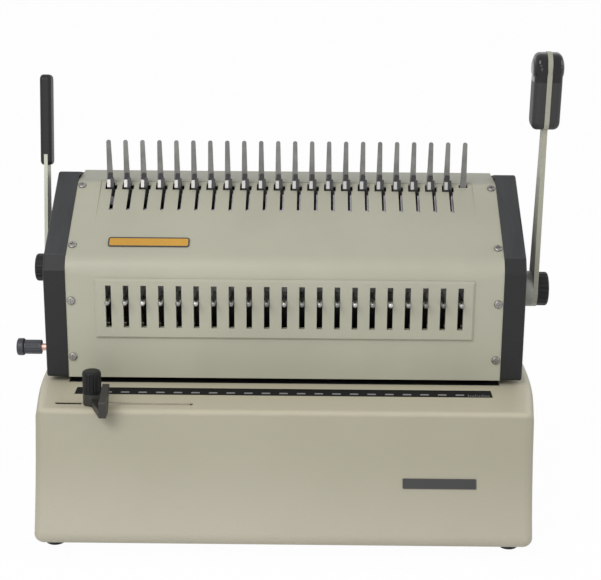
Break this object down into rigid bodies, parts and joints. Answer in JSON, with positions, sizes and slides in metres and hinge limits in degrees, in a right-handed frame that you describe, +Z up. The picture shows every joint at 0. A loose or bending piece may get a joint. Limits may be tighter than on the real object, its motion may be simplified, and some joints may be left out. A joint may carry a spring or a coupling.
{
  "type": "manual comb punch and binding machine",
  "caption": "Desk machine that punches a row of slots in sheets with a long lever and opens a plastic comb binding with a second lever.",
  "frame": {"origin": "on the table, under the middle of the machine", "axes": "+X to the operator's right, +Y away from the operator, +Z up"},
  "size_m": [0.451, 0.297, 0.3739],
  "materials": {
    "case_paint": "satin textured paint",
    "base_shell": "fine grain",
    "cap_plastic": "fine grain",
    "grip_plastic": "gloss",
    "knob_plastic": "satin, fluted",
    "strip_plastic": "satin",
    "rubber": "matt",
    "plated_steel": "zinc plated",
    "hook_steel": "blackened",
    "tool_steel": "ground",
    "chrome": "bright",
    "arm_paint": "satin",
    "bronze": "turned",
    "drawer_plastic": "fine grain",
    "guide_plastic": "satin",
    "slider_steel": "plated"
  },
  "bodies": {
    "machine": {"base_housing": "base_shell", "base_bottom_plate": "plated_steel", "rubber_feet": "rubber", "hole_scale_strip": "strip_plastic", "front_cover": "case_paint", "rear_cover": "case_paint", "left_end_cap": "cap_plastic", "right_end_cap": "cap_plastic", "left_side_frame": "plated_steel", "right_side_frame": "plated_steel", "case_screws": "chrome", "frame_bolts": "plated_steel", "die_plate": "tool_steel", "punch_guide_plate": "tool_steel", "return_springs": "tool_steel", "shaft_bushes": "bronze", "comb_fingers": "plated_steel"},
    "punch_lever": {"drive_shaft": "tool_steel", "drive_pinions": "tool_steel", "punch_lever_arm": "arm_paint", "punch_lever_grip": "grip_plastic", "punch_lever_hub": "plated_steel", "punch_lever_knob": "knob_plastic"},
    "punch_bar": {"pressure_bar": "plated_steel", "punch_racks": "tool_steel", "punch_pins": "tool_steel"},
    "comb_lever": {"opener_shaft": "tool_steel", "opener_pinions": "tool_steel", "comb_lever_arm": "plated_steel", "comb_lever_grip": "grip_plastic", "comb_lever_knob": "knob_plastic"},
    "hook_slide": {"hook_carrier": "plated_steel", "comb_hooks": "hook_steel"},
    "edge_guide": {"edge_guide_fence": "guide_plastic", "edge_guide_slider": "slider_steel"},
    "guide_knob": {"edge_guide_knob": "knob_plastic"},
    "drawer": {"chip_drawer": "drawer_plastic"},
    "depth_stop": {"depth_stop_bar": "tool_steel", "depth_knob": "knob_plastic"},
    "selector_01": {"selector_pin_01": "chrome"},
    "selector_02": {"selector_pin_02": "chrome"},
    "selector_03": {"selector_pin_03": "chrome"},
    "selector_04": {"selector_pin_04": "chrome"},
    "selector_05": {"selector_pin_05": "chrome"},
    "selector_06": {"selector_pin_06": "chrome"},
    "selector_07": {"selector_pin_07": "chrome"},
    "selector_08": {"selector_pin_08": "chrome"},
    "selector_09": {"selector_pin_09": "chrome"},
    "selector_10": {"selector_pin_10": "chrome"},
    "selector_11": {"selector_pin_11": "chrome"},
    "selector_12": {"selector_pin_12": "chrome"},
    "selector_13": {"selector_pin_13": "chrome"},
    "selector_14": {"selector_pin_14": "chrome"},
    "selector_15": {"selector_pin_15": "chrome"},
    "selector_16": {"selector_pin_16": "chrome"},
    "selector_17": {"selector_pin_17": "chrome"},
    "selector_18": {"selector_pin_18": "chrome"},
    "selector_19": {"selector_pin_19": "chrome"},
    "selector_20": {"selector_pin_20": "chrome"},
    "selector_21": {"selector_pin_21": "chrome"}
  },
  "joints": [
    {"name": "punch_lever_turn", "type": "hinge", "parent": "machine", "child": "punch_lever", "pos_m": [0, 0.021, 0.1715], "axis": [1, 0, 0], "range_deg": [0, 90]},
    {"name": "punch_bar_slide", "type": "slide", "parent": "machine", "child": "punch_bar", "axis": [0, 0, -1], "range_m": [0, 0.0165], "stiffness_N_per_m": 900, "springref_m": -0.06, "deforming": ["return_springs"]},
    {"name": "comb_lever_turn", "type": "hinge", "parent": "machine", "child": "comb_lever", "pos_m": [0, 0.05, 0.1785], "axis": [1, 0, 0], "range_deg": [0, 66]},
    {"name": "hook_slide_move", "type": "slide", "parent": "machine", "child": "hook_slide", "axis": [0, -0.8619, -0.507], "range_m": [0, 0.0217]},
    {"name": "edge_guide_slide", "type": "slide", "parent": "machine", "child": "edge_guide", "axis": [1, 0, 0], "range_m": [-0.018, 0.001]},
    {"name": "guide_knob_turn", "type": "hinge", "parent": "edge_guide", "child": "guide_knob", "pos_m": [-0.1511, -0.0874, 0.1149], "axis": [0, 0, 1], "range_deg": [-90, 90]},
    {"name": "drawer_slide", "type": "slide", "parent": "machine", "child": "drawer", "axis": [0, 1, 0], "range_m": [0, 0.12]},
    {"name": "depth_knob_turn", "type": "hinge", "parent": "machine", "child": "depth_stop", "pos_m": [0, 0.008, 0.1195], "axis": [1, 0, 0], "range_deg": [-12, 12]},
    {"name": "selector_01_pull", "type": "slide", "parent": "punch_bar", "child": "selector_01", "axis": [0, -1, 0], "range_m": [0, 0.007]},
    {"name": "selector_02_pull", "type": "slide", "parent": "punch_bar", "child": "selector_02", "axis": [0, -1, 0], "range_m": [0, 0.007]},
    {"name": "selector_03_pull", "type": "slide", "parent": "punch_bar", "child": "selector_03", "axis": [0, -1, 0], "range_m": [0, 0.007]},
    {"name": "selector_04_pull", "type": "slide", "parent": "punch_bar", "child": "selector_04", "axis": [0, -1, 0], "range_m": [0, 0.007]},
    {"name": "selector_05_pull", "type": "slide", "parent": "punch_bar", "child": "selector_05", "axis": [0, -1, 0], "range_m": [0, 0.007]},
    {"name": "selector_06_pull", "type": "slide", "parent": "punch_bar", "child": "selector_06", "axis": [0, -1, 0], "range_m": [0, 0.007]},
    {"name": "selector_07_pull", "type": "slide", "parent": "punch_bar", "child": "selector_07", "axis": [0, -1, 0], "range_m": [0, 0.007]},
    {"name": "selector_08_pull", "type": "slide", "parent": "punch_bar", "child": "selector_08", "axis": [0, -1, 0], "range_m": [0, 0.007]},
    {"name": "selector_09_pull", "type": "slide", "parent": "punch_bar", "child": "selector_09", "axis": [0, -1, 0], "range_m": [0, 0.007]},
    {"name": "selector_10_pull", "type": "slide", "parent": "punch_bar", "child": "selector_10", "axis": [0, -1, 0], "range_m": [0, 0.007]},
    {"name": "selector_11_pull", "type": "slide", "parent": "punch_bar", "child": "selector_11", "axis": [0, -1, 0], "range_m": [0, 0.007]},
    {"name": "selector_12_pull", "type": "slide", "parent": "punch_bar", "child": "selector_12", "axis": [0, -1, 0], "range_m": [0, 0.007]},
    {"name": "selector_13_pull", "type": "slide", "parent": "punch_bar", "child": "selector_13", "axis": [0, -1, 0], "range_m": [0, 0.007]},
    {"name": "selector_14_pull", "type": "slide", "parent": "punch_bar", "child": "selector_14", "axis": [0, -1, 0], "range_m": [0, 0.007]},
    {"name": "selector_15_pull", "type": "slide", "parent": "punch_bar", "child": "selector_15", "axis": [0, -1, 0], "range_m": [0, 0.007]},
    {"name": "selector_16_pull", "type": "slide", "parent": "punch_bar", "child": "selector_16", "axis": [0, -1, 0], "range_m": [0, 0.007]},
    {"name": "selector_17_pull", "type": "slide", "parent": "punch_bar", "child": "selector_17", "axis": [0, -1, 0], "range_m": [0, 0.007]},
    {"name": "selector_18_pull", "type": "slide", "parent": "punch_bar", "child": "selector_18", "axis": [0, -1, 0], "range_m": [0, 0.007]},
    {"name": "selector_19_pull", "type": "slide", "parent": "punch_bar", "child": "selector_19", "axis": [0, -1, 0], "range_m": [0, 0.007]},
    {"name": "selector_20_pull", "type": "slide", "parent": "punch_bar", "child": "selector_20", "axis": [0, -1, 0], "range_m": [0, 0.007]},
    {"name": "selector_21_pull", "type": "slide", "parent": "punch_bar", "child": "selector_21", "axis": [0, -1, 0], "range_m": [0, 0.007]}
  ],
  "couplings": [
    {"joint": "punch_bar_slide", "follows": "punch_lever_turn", "m_per_rad": 0.0105},
    {"joint": "hook_slide_move", "follows": "comb_lever_turn", "m_per_rad": 0.01875}
  ]
}
